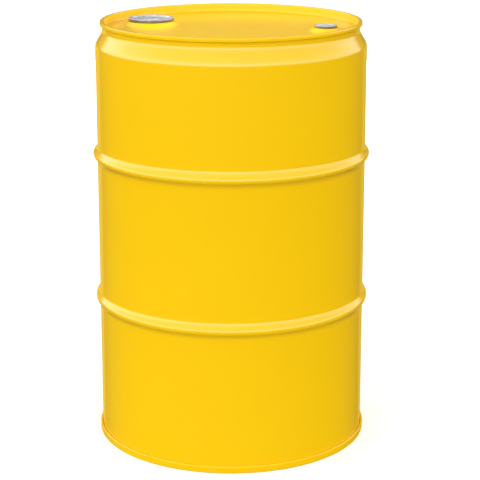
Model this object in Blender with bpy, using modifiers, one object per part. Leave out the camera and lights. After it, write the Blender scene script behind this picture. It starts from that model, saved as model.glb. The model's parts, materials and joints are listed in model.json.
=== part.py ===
"""A steel drum with a tight head: a body shell with two rolling hoops and a drawn-in neck, two
heads seamed to it, and two threaded closures in the top head, each under a crimped cap.

Metres, +Z up. The origin is the middle of the ring that the drum stands on, and -Y is the front.
"""

import math
from collections import namedtuple

import bmesh
import bpy
from mathutils import Matrix, Vector

# ---------------------------------------------------------------- driving dimensions

DRUM_HEIGHT = 0.905
BODY_DIAMETER = 0.574  # outside of the plain wall
NECK_INSET = 0.0155  # from the plain wall in to the wall below the top seam
BODY_SHEET = 0.0012
HEAD_SHEET = 0.0015
GAP = 0.0003  # left between pieces that touch

HOOP_PROJECTION = 0.0087
HOOP_WIDTH = 0.041
HOOP_FOOT_RADIUS = 0.008
UPPER_HOOP_HEIGHT = 0.6230
LOWER_HOOP_HEIGHT = 0.3080

SHOULDER_TOP_DEPTH = 0.023  # from the drum's top to the corner where the neck starts to widen
SHOULDER_HEIGHT = 0.026
SHOULDER_TOP_RADIUS = 0.010
SHOULDER_BOTTOM_RADIUS = 0.025

TOP_SEAM_HEIGHT = 0.009
BOTTOM_SEAM_HEIGHT = 0.0155
SEAM_CORNER_RADIUS = 0.0019  # middle of the sheet, where the seam is rounded over
HOOK_END_GAP = 0.0008  # from the end of a hook to the fold that it sits in
COMPOUND_THICKNESS = 0.0006
COMPOUND_INSET = 0.0004  # from the middles of the fold's sides to the compound's edges

TOP_RECESS = 0.018 # from the end of the drum to the face of its head
BOTTOM_RECESS = 0.018
COUNTERSINK_RADIUS = 0.005
BOSS_RISE = 0.0066
BOSS_LAND = 0.0015  # flat ring of the boss outside the flange below it
BOSS_SLOPE_WIDTH = 0.010
BOSS_BEND_RADIUS = 0.0016

CAP_SHEET = 0.0008
CURL_LIP = 0.0009  # how far the flange's rolled edge stands past the collar it holds
CURL_THICKNESS = 0.0011
NECK_WALL = 0.0017
FLANGE_SHEET = 0.0022
FLANGE_GASKET_THICKNESS = 0.0018
FLANGE_GASKET_INSET = 0.0005
PLUG_SHEET = 0.0022
PLUG_GASKET_THICKNESS = 0.0020
PLUG_HEAD_CLEARANCE = 0.0010
PLUG_END_CLEARANCE = 0.0010
THREAD_CLEARANCE = 0.0005
PLUG_BEND_RADIUS = 0.0014
PLUG_GASKET_INSET = 0.0010
LUG_ROOT = 0.0010  # how far a lug runs into the cup
CAP_BEND_RADIUS = 0.0005
CAP_RIM_CLEARANCE = 0.0010  # from the neck to where the cap's panel drops inside it

# Each closure: its distance in from the neck's wall and its direction from the drum's axis, its
# thread and cap, and the heights that its size sets.
Closure = namedtuple(
    "Closure",
    "name edge_distance direction thread_diameter thread_length barrel_wall cap_diameter cap_recess "
    "collar_height seat_depth base_width button_diameter button_rise lug_length lug_width "
    "lug_height",
)
CLOSURES = (
    Closure(
        name="2in",
        edge_distance=0.0875,
        direction=math.radians(159),
        thread_diameter=0.0596,
        thread_length=0.015,
        barrel_wall=0.003,
        cap_diameter=0.097,
        cap_recess=0.0022,
        collar_height=0.0044,
        seat_depth=0.0060,
        base_width=0.006,
        button_diameter=0.040,
        button_rise=0.0010,
        lug_length=0.009,
        lug_width=0.006,
        lug_height=0.008,
    ),
    Closure(
        name="3_4in",
        edge_distance=0.0695,
        direction=math.radians(-12),
        thread_diameter=0.0264,
        thread_length=0.012,
        barrel_wall=0.0025,
        cap_diameter=0.047,
        cap_recess=0.0016,
        collar_height=0.0030,
        seat_depth=0.0052,
        base_width=0.005,
        button_diameter=0.017,
        button_rise=0.0007,
        lug_length=0.0035,
        lug_width=0.003,
        lug_height=0.005,
    ),
)

SHELL_SEGMENTS = 36
CLOSURE_SEGMENTS = 24
TIGHT_BEND = 0.0015  # bends up to this radius are one chamfer, and wider ones take two steps
WIDE_BEND = 0.006  # bends from this radius take three steps
FOOT_STEPS = 2
CREST_STEPS = 4
MERGE_DISTANCE = 0.00005
SHARP_ANGLE = math.radians(50)
FLAT_ANGLE = math.radians(0.1)
CUT_MARGIN = 0.005  # how far a cutter reaches past what it cuts

YELLOW_PAINT = ((0.95, 0.60, 0.010), 0.0, 0.28)
ZINC_STEEL = ((0.55, 0.57, 0.60), 1.0, 0.35)
TINPLATE = ((0.72, 0.73, 0.75), 1.0, 0.22)
SEAL_RUBBER = ((0.025, 0.025, 0.028), 0.0, 0.75)
SEAM_SEALANT = ((0.30, 0.28, 0.24), 0.0, 0.80)

# ---------------------------------------------------------------- derived dimensions

Seam = namedtuple("Seam", "name is_top wall_radius height recess")
BODY_RADIUS = BODY_DIAMETER / 2
NECK_RADIUS = BODY_RADIUS - NECK_INSET
TOP_SEAM = Seam("top", True, NECK_RADIUS, TOP_SEAM_HEIGHT, TOP_RECESS)
BOTTOM_SEAM = Seam("bottom", False, BODY_RADIUS, BOTTOM_SEAM_HEIGHT, BOTTOM_RECESS)

COMPOUND_DEPTH = HEAD_SHEET + GAP
FOLD_DEPTH = COMPOUND_DEPTH + COMPOUND_THICKNESS + GAP
FOLD_WIDTH = BODY_SHEET + HEAD_SHEET + 2 * GAP  # between the middles of a fold's two sides
FOLD_RADIUS = 0.3 * FOLD_WIDTH
BODY_WALL = BODY_RADIUS - BODY_SHEET / 2  # middle of the sheet, as all the paths below
NECK = NECK_RADIUS - BODY_SHEET / 2
BOSS_TOP = DRUM_HEIGHT - TOP_RECESS + BOSS_RISE
BOSS_TILT = math.atan2(BOSS_RISE, BOSS_SLOPE_WIDTH)


# ---------------------------------------------------------------- paths and outlines


def corner_arc(before, corner, after, radius, steps):
    """The points of the arc that rounds one corner of a path."""
    towards_before = (before - corner).normalized()
    towards_after = (after - corner).normalized()
    half = towards_before.angle(towards_after) / 2
    centre = corner + (towards_before + towards_after).normalized() * (radius / math.sin(half))
    start = corner + towards_before * (radius / math.tan(half)) - centre
    end = corner + towards_after * (radius / math.tan(half)) - centre
    turn = math.atan2(start.x * end.y - start.y * end.x, start.dot(end))
    sideways = Vector((-start.y, start.x))
    angles = [turn * step / steps for step in range(steps + 1)]
    return [centre + start * math.cos(angle) + sideways * math.sin(angle) for angle in angles]


def rounded(corners):
    """A path through corners of (radius, height, bend radius), where a bend of 0 stays sharp."""
    points = [Vector(corner[:2]) for corner in corners]
    path = []
    for index, (_, _, bend) in enumerate(corners):
        if bend == 0:
            path.append(points[index])
            continue
        steps = 1 + (bend > TIGHT_BEND) + (bend >= WIDE_BEND)
        path += corner_arc(points[index - 1], points[index], points[index + 1], bend, steps)
    return path


def sheet_outline(path, thickness):
    """The outline of a sheet of even thickness whose middle follows the path."""
    runs = [(after - before).normalized() for before, after in zip(path, path[1:])]
    sides = ([], [])
    for point, run_in, run_out in zip(path, runs[:1] + runs, runs + runs[-1:]):
        along = (run_in + run_out).normalized()
        reach = thickness / 2 / along.dot(run_in)
        offset = Vector((-along.y, along.x)) * reach
        sides[0].append(point + offset)
        sides[1].append(point - offset)
    return sides[0] + sides[1][::-1]


def clockwise(outline):
    """The outline with its outer side running down, so that the turned solid faces outwards."""
    following = outline[1:] + outline[:1]
    area = sum(a[0] * b[1] - b[0] * a[1] for a, b in zip(outline, following))
    return outline if area < 0 else outline[::-1]


def opened_at_axis(outline):
    """The outline turned round so that its edge along the axis is the one that is left out."""
    following = outline[1:] + outline[:1]
    for index, (a, b) in enumerate(zip(outline, following)):
        if a[0] < MERGE_DISTANCE and b[0] < MERGE_DISTANCE:
            return outline[index + 1 :] + outline[: index + 1]
    return None


# ---------------------------------------------------------------- objects


def clear_scene():
    for item in list(bpy.data.objects):
        bpy.data.objects.remove(item)


def add_collection(name):
    made = bpy.data.collections.new(name)
    bpy.context.scene.collection.children.link(made)
    return made


def add_material(name, colour, metallic, roughness):
    made = bpy.data.materials.new(name)
    made.use_nodes = True
    shader = made.node_tree.nodes["Principled BSDF"]
    shader.inputs["Base Color"].default_value = (*colour, 1)
    shader.inputs["Metallic"].default_value = metallic
    shader.inputs["Roughness"].default_value = roughness
    made.diffuse_color = (*colour, 1)
    return made


def add_part(name, mesh, collection, parent, finish):
    made = bpy.data.objects.new(name, mesh)
    collection.objects.link(made)
    made.parent = parent
    mesh.materials.append(add_material(name + "_finish", *finish))
    return made


def add_cutter(name, mesh, collection, parent):
    """A solid that another one is cut or joined with, and that isn't a part itself."""
    made = bpy.data.objects.new(name, mesh)
    collection.objects.link(made)
    made.parent = parent
    made.hide_render = True
    made.display_type = "WIRE"
    return made


def profile_mesh(name, outline):
    outline = clockwise([tuple(point) for point in outline])
    open_outline = opened_at_axis(outline)
    points = open_outline or outline
    edges = [(index, index + 1) for index in range(len(points) - 1)]
    if open_outline is None:
        edges.append((len(points) - 1, 0))
    mesh = bpy.data.meshes.new(name)
    mesh.from_pydata([(radius, 0, height) for radius, height in points], edges, [])
    return mesh


def turn(item, segments):
    """Turns an object's profile about its Z axis into a closed solid."""
    screw = item.modifiers.new("turn", "SCREW")
    screw.steps = segments
    screw.render_steps = segments
    screw.use_merge_vertices = True
    screw.merge_threshold = MERGE_DISTANCE
    screw.use_smooth_shade = True
    return item


def combine(target, operation, operand):
    boolean = target.modifiers.new(operand.name, "BOOLEAN")
    boolean.operation = operation
    boolean.object = operand
    boolean.solver = "EXACT"


def freeze(item, shapes):
    """Turns an object's modifiers into its mesh, smooth apart from its sharp edges."""
    mesh = bpy.data.meshes.new_from_object(item.evaluated_get(shapes))
    mesh.shade_smooth()
    mesh.set_sharp_from_angle(angle=SHARP_ANGLE)
    item.modifiers.clear()
    item.data = mesh


# ---------------------------------------------------------------- the seams


def seam_height(seam, depth):
    """The height of a point that lies so deep behind its end of the drum."""
    return DRUM_HEIGHT - depth if seam.is_top else depth


def body_hook(seam):
    """The body's edge: over the cover hook and down outside it."""
    wall = seam.wall_radius - BODY_SHEET / 2
    end = seam.height - HEAD_SHEET - HOOK_END_GAP
    fold = FOLD_DEPTH + BODY_SHEET / 2
    return [
        (wall + FOLD_WIDTH, seam_height(seam, end), 0),
        (wall + FOLD_WIDTH, seam_height(seam, fold), FOLD_RADIUS),
        (wall, seam_height(seam, fold), FOLD_RADIUS),
    ]


def head_corners(seam):
    """The head's sheet: cover hook, seam wall, the round over the top, chuck wall, panel."""
    cover_hook = seam.wall_radius + GAP + HEAD_SHEET / 2
    seam_wall = cover_hook + FOLD_WIDTH
    chuck_wall = seam.wall_radius - BODY_SHEET - GAP - HEAD_SHEET / 2
    hook_end = seam_height(seam, FOLD_DEPTH + BODY_SHEET + HOOK_END_GAP)
    curl = seam_height(seam, seam.height - HEAD_SHEET / 2)
    top = seam_height(seam, HEAD_SHEET / 2)
    panel = seam_height(seam, seam.recess + HEAD_SHEET / 2)
    return [
        (cover_hook, hook_end, 0),
        (cover_hook, curl, FOLD_RADIUS),
        (seam_wall, curl, FOLD_RADIUS),
        (seam_wall, top, SEAM_CORNER_RADIUS),
        (chuck_wall, top, SEAM_CORNER_RADIUS),
        (chuck_wall, panel, COUNTERSINK_RADIUS),
        (0, panel, 0),
    ]


def compound_outline(seam):
    """The flat ring of sealing compound between the top of the seam and the body's fold."""
    inner = seam.wall_radius - BODY_SHEET / 2 + COMPOUND_INSET
    outer = inner + FOLD_WIDTH - 2 * COMPOUND_INSET
    near = seam_height(seam, COMPOUND_DEPTH)
    far = seam_height(seam, COMPOUND_DEPTH + COMPOUND_THICKNESS)
    return [(inner, near), (outer, near), (outer, far), (inner, far)]


# ---------------------------------------------------------------- the body


def hoop(height):
    """One rolling hoop: two foot bends and a crest, tangent to each other and to the wall."""
    half = HOOP_WIDTH / 2
    both_radii = (half**2 + HOOP_PROJECTION**2) / (2 * HOOP_PROJECTION)
    crest_radius = both_radii - HOOP_FOOT_RADIUS
    crest_middle = BODY_WALL + HOOP_PROJECTION - crest_radius
    lean = math.asin(half / both_radii)
    foot = []
    for step in range(FOOT_STEPS):
        angle = lean * step / FOOT_STEPS
        rise = HOOP_FOOT_RADIUS * (1 - math.cos(angle))
        foot.append((BODY_WALL + rise, half - HOOP_FOOT_RADIUS * math.sin(angle)))
    crest = []
    for step in range(CREST_STEPS + 1):
        angle = lean * (1 - 2 * step / CREST_STEPS)
        crest.append((crest_middle + crest_radius * math.cos(angle), crest_radius * math.sin(angle)))
    lower_foot = [(radius, -above) for radius, above in reversed(foot)]
    return [Vector((radius, height + above)) for radius, above in foot + crest + lower_foot]


def body_path():
    neck_end = DRUM_HEIGHT - SHOULDER_TOP_DEPTH
    shoulder = [
        (NECK, neck_end, SHOULDER_TOP_RADIUS),
        (BODY_WALL, neck_end - SHOULDER_HEIGHT, SHOULDER_BOTTOM_RADIUS),
    ]
    hoops = hoop(UPPER_HOOP_HEIGHT) + hoop(LOWER_HOOP_HEIGHT)
    above = rounded([*body_hook(TOP_SEAM), *shoulder, (*hoops[0], 0)])
    below = rounded([(*hoops[-1], 0), *reversed(body_hook(BOTTOM_SEAM))])
    return above[:-1] + hoops + below[1:]


def add_body(parts, frame):
    mesh = profile_mesh("drum_body", sheet_outline(body_path(), BODY_SHEET))
    turn(add_part("drum_body", mesh, parts, frame, YELLOW_PAINT), SHELL_SEGMENTS)


def add_head(seam, parts, frame):
    name = seam.name + "_head"
    mesh = profile_mesh(name, sheet_outline(rounded(head_corners(seam)), HEAD_SHEET))
    return turn(add_part(name, mesh, parts, frame, YELLOW_PAINT), SHELL_SEGMENTS)


def add_compound(seam, parts, frame):
    name = seam.name + "_seam_compound"
    mesh = profile_mesh(name, compound_outline(seam))
    turn(add_part(name, mesh, parts, frame, SEAM_SEALANT), SHELL_SEGMENTS)


# ---------------------------------------------------------------- the closures
# Their heights are measured from the top of the boss, where each closure's empty stands.


class Fit:
    """The radii and heights that one closure's pieces share, from the cap inwards."""

    def __init__(self, closure):
        self.cap_outside = closure.cap_diameter / 2
        self.curl_outside = self.cap_outside - CAP_SHEET - GAP
        self.collar = self.curl_outside - CURL_LIP - HEAD_SHEET / 2
        self.neck_outside = self.collar - HEAD_SHEET / 2 - GAP
        self.neck_inside = self.neck_outside - NECK_WALL
        self.bore = closure.thread_diameter / 2
        self.base_outside = self.neck_outside + closure.base_width
        self.boss_land = self.base_outside + BOSS_LAND
        self.plug_head = self.neck_inside - PLUG_HEAD_CLEARANCE

        self.curl_top = closure.collar_height + GAP + CURL_THICKNESS
        self.base_gasket_top = -HEAD_SHEET - GAP
        self.base_top = self.base_gasket_top - FLANGE_GASKET_THICKNESS - GAP
        self.seat = -closure.seat_depth
        self.barrel_end = self.seat - closure.thread_length
        self.plug_gasket_bottom = self.seat + GAP
        self.plug_head_bottom = self.plug_gasket_bottom + PLUG_GASKET_THICKNESS + GAP


def boss_outline(closure, fit):
    """The outer face of the head's raised boss and collar, filled down into the head's sheet."""
    root = -BOSS_RISE - HEAD_SHEET / 2
    collar_outside = fit.collar + HEAD_SHEET / 2
    slope_end = fit.boss_land + (BOSS_RISE + HEAD_SHEET / 2) / math.tan(BOSS_TILT)
    return rounded(
        [
            (0, closure.collar_height, 0),
            (collar_outside, closure.collar_height, 0),
            (collar_outside, 0, BOSS_BEND_RADIUS - HEAD_SHEET / 2),
            (fit.boss_land, 0, BOSS_BEND_RADIUS),
            (slope_end, root, 0),
            (0, root, 0),
        ]
    )


def boss_void_outline(closure, fit):
    """The space below the boss and through its collar, one sheet inside the outer face."""
    collar_inside = fit.collar - HEAD_SHEET / 2
    land = fit.boss_land - HEAD_SHEET * math.tan(BOSS_TILT / 2)
    slope_end = land + (BOSS_RISE + CUT_MARGIN) / math.tan(BOSS_TILT)
    below = -BOSS_RISE - HEAD_SHEET - CUT_MARGIN
    return rounded(
        [
            (0, closure.collar_height + CUT_MARGIN, 0),
            (collar_inside, closure.collar_height + CUT_MARGIN, 0),
            (collar_inside, -HEAD_SHEET, BOSS_BEND_RADIUS + HEAD_SHEET / 2),
            (land, -HEAD_SHEET, 0),
            (slope_end, below, 0),
            (0, below, 0),
        ]
    )


def flange_outline(closure, fit):
    """The threaded flange: rolled edge, neck, dish with the gasket's seat, base and barrel."""
    barrel_outside = fit.bore + closure.barrel_wall
    curl_bottom = closure.collar_height + GAP
    base_bottom = fit.base_top - FLANGE_SHEET
    dish_bottom = fit.seat - FLANGE_SHEET
    return [
        (fit.neck_inside, fit.curl_top),
        (fit.curl_outside, fit.curl_top),
        (fit.curl_outside, curl_bottom),
        (fit.neck_outside, curl_bottom),
        (fit.neck_outside, fit.base_top),
        (fit.base_outside, fit.base_top),
        (fit.base_outside, base_bottom),
        (fit.neck_outside, base_bottom),
        (fit.neck_outside, dish_bottom),
        (barrel_outside, dish_bottom),
        (barrel_outside, fit.barrel_end),
        (fit.bore, fit.barrel_end),
        (fit.bore, fit.seat),
        (fit.neck_inside, fit.seat),
    ]


def ring_outline(inner, outer, bottom, thickness):
    top = bottom + thickness
    return [(inner, top), (outer, top), (outer, bottom), (inner, bottom)]


def flange_gasket_outline(closure, fit):
    inner = fit.neck_outside + GAP
    outer = fit.base_outside - FLANGE_GASKET_INSET
    bottom = fit.base_gasket_top - FLANGE_GASKET_THICKNESS
    return ring_outline(inner, outer, bottom, FLANGE_GASKET_THICKNESS)


def plug_gasket_outline(closure, fit):
    inner = fit.bore + PLUG_GASKET_INSET
    outer = fit.plug_head - PLUG_GASKET_INSET
    return ring_outline(inner, outer, fit.plug_gasket_bottom, PLUG_GASKET_THICKNESS)


def plug_outline(closure, fit):
    """The plug: a flat head round a deep cup, whose outside carries the thread."""
    shank = fit.bore - THREAD_CLEARANCE - PLUG_SHEET / 2
    head = fit.plug_head_bottom + PLUG_SHEET / 2
    floor = fit.barrel_end + PLUG_END_CLEARANCE + PLUG_SHEET / 2
    path = rounded(
        [
            (fit.plug_head, head, 0),
            (shank, head, PLUG_BEND_RADIUS),
            (shank, floor, PLUG_BEND_RADIUS),
            (0, floor, 0),
        ]
    )
    return sheet_outline(path, PLUG_SHEET)


def cap_outline(closure, fit):
    """The cap: a skirt round the rolled edge, a flat rim, a recessed panel and its button."""
    skirt = fit.cap_outside - CAP_SHEET / 2
    rim = fit.curl_top + GAP + CAP_SHEET / 2
    rim_inside = fit.neck_inside - CAP_RIM_CLEARANCE
    panel = rim - closure.cap_recess
    button = closure.button_diameter / 2
    path = rounded(
        [
            (skirt, GAP, 0),
            (skirt, rim, CAP_BEND_RADIUS),
            (rim_inside, rim, CAP_BEND_RADIUS),
            (rim_inside - closure.cap_recess, panel, CAP_BEND_RADIUS),
            (button + closure.button_rise, panel, 0),
            (button, panel + closure.button_rise, 0),
            (0, panel + closure.button_rise, 0),
        ]
    )
    return sheet_outline(path, CAP_SHEET)


def lug_mesh(closure, fit):
    """The four lugs inside the plug's cup, which a bung wrench turns."""
    cup = fit.bore - THREAD_CLEARANCE - PLUG_SHEET
    floor = fit.barrel_end + PLUG_END_CLEARANCE + PLUG_SHEET
    size = (closure.lug_length + LUG_ROOT, closure.lug_width, closure.lug_height + LUG_ROOT)
    middle = (cup + LUG_ROOT - size[0] / 2, 0, floor - LUG_ROOT + size[2] / 2)
    lugs = bmesh.new()
    for quarter in range(4):
        corners = bmesh.ops.create_cube(lugs, size=1)["verts"]
        bmesh.ops.scale(lugs, vec=size, verts=corners)
        bmesh.ops.translate(lugs, vec=middle, verts=corners)
        turned = Matrix.Rotation(quarter * math.pi / 2, 3, "Z")
        bmesh.ops.rotate(lugs, cent=(0, 0, 0), matrix=turned, verts=corners)
    mesh = bpy.data.meshes.new("lugs_" + closure.name)
    lugs.to_mesh(mesh)
    lugs.free()
    return mesh


def add_turned_cutter(name, outline, cutters, stand):
    """A turned cutter with each flat end as one face, so that no spoke there grazes a wall."""
    cutter = turn(add_cutter(name, profile_mesh(name, outline), cutters, stand), CLOSURE_SEGMENTS)
    flats = cutter.modifiers.new("flats", "DECIMATE")
    flats.decimate_type = "DISSOLVE"
    flats.angle_limit = FLAT_ANGLE
    return cutter


def add_closure(closure, head, parts, cutters, frame):
    fit = Fit(closure)
    stand = bpy.data.objects.new("closure_" + closure.name, None)
    parts.objects.link(stand)
    stand.parent = frame
    reach = NECK_RADIUS - closure.edge_distance
    across = reach * math.cos(closure.direction)
    back = reach * math.sin(closure.direction)
    stand.location = (across, back, BOSS_TOP)
    stand.rotation_euler.z = closure.direction

    boss = add_turned_cutter("boss_" + closure.name, boss_outline(closure, fit), cutters, stand)
    combine(head, "UNION", boss)
    void = boss_void_outline(closure, fit)
    combine(head, "DIFFERENCE", add_turned_cutter("void_" + closure.name, void, cutters, stand))

    pieces = (
        ("flange_", flange_outline, ZINC_STEEL),
        ("flange_gasket_", flange_gasket_outline, SEAL_RUBBER),
        ("plug_gasket_", plug_gasket_outline, SEAL_RUBBER),
        ("plug_", plug_outline, ZINC_STEEL),
        ("cap_seal_", cap_outline, TINPLATE),
    )
    for prefix, outline, finish in pieces:
        name = prefix + closure.name
        mesh = profile_mesh(name, outline(closure, fit))
        turn(add_part(name, mesh, parts, stand, finish), CLOSURE_SEGMENTS)
    lugs = lug_mesh(closure, fit)
    plug = bpy.data.objects["plug_" + closure.name]
    combine(plug, "UNION", add_cutter(lugs.name, lugs, cutters, stand))


# ---------------------------------------------------------------- the drum


def main():
    clear_scene()
    parts = add_collection("steel_drum")
    cutters = add_collection("steel_drum_cutters")
    frame = bpy.data.objects.new("drum_frame", None)
    parts.objects.link(frame)

    add_body(parts, frame)
    top_head = add_head(TOP_SEAM, parts, frame)
    add_head(BOTTOM_SEAM, parts, frame)
    for seam in (TOP_SEAM, BOTTOM_SEAM):
        add_compound(seam, parts, frame)
    for closure in CLOSURES:
        add_closure(closure, top_head, parts, cutters, frame)

    shapes = bpy.context.evaluated_depsgraph_get()
    for item in parts.objects:
        if item.type == "MESH":
            freeze(item, shapes)


main()
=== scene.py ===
# %% [markdown]
# A closed-head steel drum. The real one is a tube of 1.2 mm sheet with two rolling hoops and a
# drawn-in neck, and two pressed heads folded onto its ends. The top head carries two threaded
# closures, each under a tinplate cap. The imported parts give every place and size; each step below
# makes one piece again with a finer surface, and hides the coarse one that it stands for.

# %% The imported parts
import json
import math

import bmesh
import bpy
from mathutils import Matrix, Vector
from mathutils.geometry import delaunay_2d_cdt


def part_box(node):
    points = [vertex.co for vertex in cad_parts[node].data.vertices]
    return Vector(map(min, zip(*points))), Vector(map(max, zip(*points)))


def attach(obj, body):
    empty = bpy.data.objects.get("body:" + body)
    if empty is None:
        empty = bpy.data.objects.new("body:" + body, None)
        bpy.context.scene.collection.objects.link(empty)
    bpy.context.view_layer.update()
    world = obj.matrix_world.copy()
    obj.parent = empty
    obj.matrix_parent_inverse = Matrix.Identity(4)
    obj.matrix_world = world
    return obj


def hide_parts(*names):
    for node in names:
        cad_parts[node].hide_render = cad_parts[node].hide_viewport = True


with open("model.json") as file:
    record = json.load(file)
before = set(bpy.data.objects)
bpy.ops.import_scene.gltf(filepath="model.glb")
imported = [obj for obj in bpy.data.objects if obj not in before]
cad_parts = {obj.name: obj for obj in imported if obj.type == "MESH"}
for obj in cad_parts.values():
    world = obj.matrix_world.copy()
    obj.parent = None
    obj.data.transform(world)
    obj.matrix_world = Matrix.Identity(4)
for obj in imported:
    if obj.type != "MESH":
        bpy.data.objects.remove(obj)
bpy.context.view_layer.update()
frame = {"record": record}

for name in ("Cube", "Light", "Camera"):
    if name in bpy.data.objects:
        bpy.data.objects.remove(bpy.data.objects[name])
drum_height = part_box("top_head")[1].z
print("height", round(drum_height, 4))

# %% [markdown]
# Node trees are easier to read as sums. A Value wraps one output socket, and Python's own signs
# add the Math nodes. A Graph adds every other node with one method: its settings come first,
# because some of them change which sockets the node has.

# %% Values and graphs
MIX_COLOUR_INPUTS, MIX_COLOUR_OUTPUT = (0, 6, 7), 2


class Value:
    """One output socket that can be added to, multiplied and so on."""

    def __init__(self, graph, socket):
        self.graph = graph
        self.socket = socket

    def math(self, operation, *values):
        settings = {"operation": operation}
        return self.graph.node("ShaderNodeMath", settings, dict(enumerate(values)))

    def __add__(self, other):
        return self.math("ADD", self, other)

    def __radd__(self, other):
        return self.math("ADD", other, self)

    def __sub__(self, other):
        return self.math("SUBTRACT", self, other)

    def __rsub__(self, other):
        return self.math("SUBTRACT", other, self)

    def __mul__(self, other):
        return self.math("MULTIPLY", self, other)

    def __rmul__(self, other):
        return self.math("MULTIPLY", other, self)

    def __truediv__(self, other):
        return self.math("DIVIDE", self, other)

    def __rtruediv__(self, other):
        return self.math("DIVIDE", other, self)


class Graph:
    """Adds nodes to one node tree."""

    def __init__(self, tree):
        self.tree = tree

    def node(self, kind, settings=None, inputs=None, output=0):
        made = self.tree.nodes.new(kind)
        for name, value in (settings or {}).items():
            if name == "stops":
                self.set_stops(made.color_ramp, value)
            else:
                setattr(made, name, value)
        for key, value in (inputs or {}).items():
            self.feed(made.inputs[key], value)
        return Value(self, made.outputs[output])

    def feed(self, socket, value):
        if isinstance(value, Value):
            self.tree.links.new(value.socket, socket)
        else:
            socket.default_value = value

    @staticmethod
    def set_stops(ramp, stops):
        while len(ramp.elements) < len(stops):
            ramp.elements.new(1)
        for element, (position, colour) in zip(ramp.elements, stops):
            element.position = position
            element.color = (*colour, 1)


# %% [markdown]
# Most pieces of a drum are turned shapes, and a real one is pressed or rolled the same way: one
# section carried round the axis. Geometry Nodes do this with a circle as the path and the section
# as the profile. Threads and crimps are waves pressed into the turned wall, so each is a tree of
# its own that moves the points in or out.

# %% Geometry trees and their named inputs
SOCKET_KINDS = {int: "NodeSocketInt", float: "NodeSocketFloat", tuple: "NodeSocketVector"}


class ShapeTree(Graph):
    """A Geometry Nodes tree with named inputs, which ends in plain geometry and a finish."""

    def __init__(self, name, **sizes):
        super().__init__(bpy.data.node_groups.new(name, "GeometryNodeTree"))
        face = self.tree.interface
        face.new_socket("Geometry", in_out="INPUT", socket_type="NodeSocketGeometry")
        self.sockets = {}
        for label, value in sizes.items():
            kind = SOCKET_KINDS[type(value)]
            made = face.new_socket(label, in_out="INPUT", socket_type=kind)
            made.default_value = value
            self.sockets[label] = made.identifier
        made = face.new_socket("finish", in_out="INPUT", socket_type="NodeSocketMaterial")
        self.sockets["finish"] = made.identifier
        face.new_socket("Geometry", in_out="OUTPUT", socket_type="NodeSocketGeometry")
        self.entry = self.tree.nodes.new("NodeGroupInput")
        self.position = self.node("GeometryNodeInputPosition")

    def input(self, label):
        return Value(self, self.entry.outputs[label])

    def along(self, vector):
        """The three numbers of a vector."""
        split = self.node("ShaderNodeSeparateXYZ", {}, {0: vector}).socket.node
        return [Value(self, socket) for socket in split.outputs]

    def radius_and_angle(self):
        x, y, z = self.along(self.position)
        radius = self.node("ShaderNodeMath", {"operation": "SQRT"}, {0: x * x + y * y})
        return radius, self.node("ShaderNodeMath", {"operation": "ARCTAN2"}, {0: y, 1: x}), z

    def fade(self, value, start, end, rise):
        """1 between start and end, falling to 0 over rise outside them."""
        up = self.node("ShaderNodeMapRange", {}, {0: value, 1: start - rise, 2: start})
        down = self.node("ShaderNodeMapRange", {}, {0: value, 1: end + rise, 2: end})
        return up * down

    def push_out(self, geometry, amount):
        """Moves the points away from the Z axis."""
        flat = self.node("ShaderNodeVectorMath", {"operation": "MULTIPLY"},
                         {0: self.position, 1: (1, 1, 0)})
        away = self.node("ShaderNodeVectorMath", {"operation": "NORMALIZE"}, {0: flat})
        offset = self.node("ShaderNodeVectorMath", {"operation": "SCALE"}, {0: away, 3: amount})
        return self.node("GeometryNodeSetPosition", {}, {"Geometry": geometry, "Offset": offset})

    def finish_with(self, geometry):
        real = self.node("GeometryNodeRealizeInstances", {}, {0: geometry})
        inputs = {"Geometry": real, "Material": self.input("finish")}
        done = self.node("GeometryNodeSetMaterial", {}, inputs)
        exit_node = self.tree.nodes.new("NodeGroupOutput")
        self.tree.links.new(done.socket, exit_node.inputs[0])
        print("tree", self.tree.name, "with", len(self.tree.nodes), "nodes")

    def apply_to(self, item, **sizes):
        modifier = item.modifiers.new(self.tree.name, "NODES")
        modifier.node_group = self.tree
        for label, value in sizes.items():
            modifier[self.sockets[label]] = value


# %% The turning tree
PATH_RADIUS = 0.001  # of the circle that the section is carried round
WELD = 0.00001

turned = ShapeTree("turned", segments=96)
ring = turned.node("GeometryNodeCurvePrimitiveCircle", {"mode": "RADIUS"},
                   {"Resolution": turned.input("segments"), "Radius": PATH_RADIUS})
upright = turned.node("GeometryNodeSetCurveNormal", {"mode": "Z_UP"}, {0: ring})
section = turned.node("GeometryNodeMeshToCurve", {}, {0: turned.input("Geometry")})
swept = turned.node("GeometryNodeCurveToMesh", {}, {"Curve": upright, "Profile Curve": section})
welded = turned.node("GeometryNodeMergeByDistance", {}, {"Geometry": swept, "Distance": WELD})
turned.finish_with(welded)

# %% The thread tree
THREAD_FADE = 0.0006  # over which a thread runs out at its ends
RADIUS_FADE = 0.00005  # so that only the one wall is moved

threaded = ShapeTree("threaded", lead=0.002, depth=0.001, start=0.0, end=0.01, near=0.0, far=1.0)
radius, angle, height = threaded.radius_and_angle()
turns = height / threaded.input("lead") - angle / (2 * math.pi)
wave = threaded.node("ShaderNodeMath", {"operation": "COSINE"}, {0: turns * (2 * math.pi)})
where = threaded.fade(height, threaded.input("start"), threaded.input("end"), THREAD_FADE)
where = where * threaded.fade(radius, threaded.input("near"), threaded.input("far"), RADIUS_FADE)
ridge = wave * where * threaded.input("depth") * 0.5
threaded.finish_with(threaded.push_out(threaded.input("Geometry"), ridge))

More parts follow.
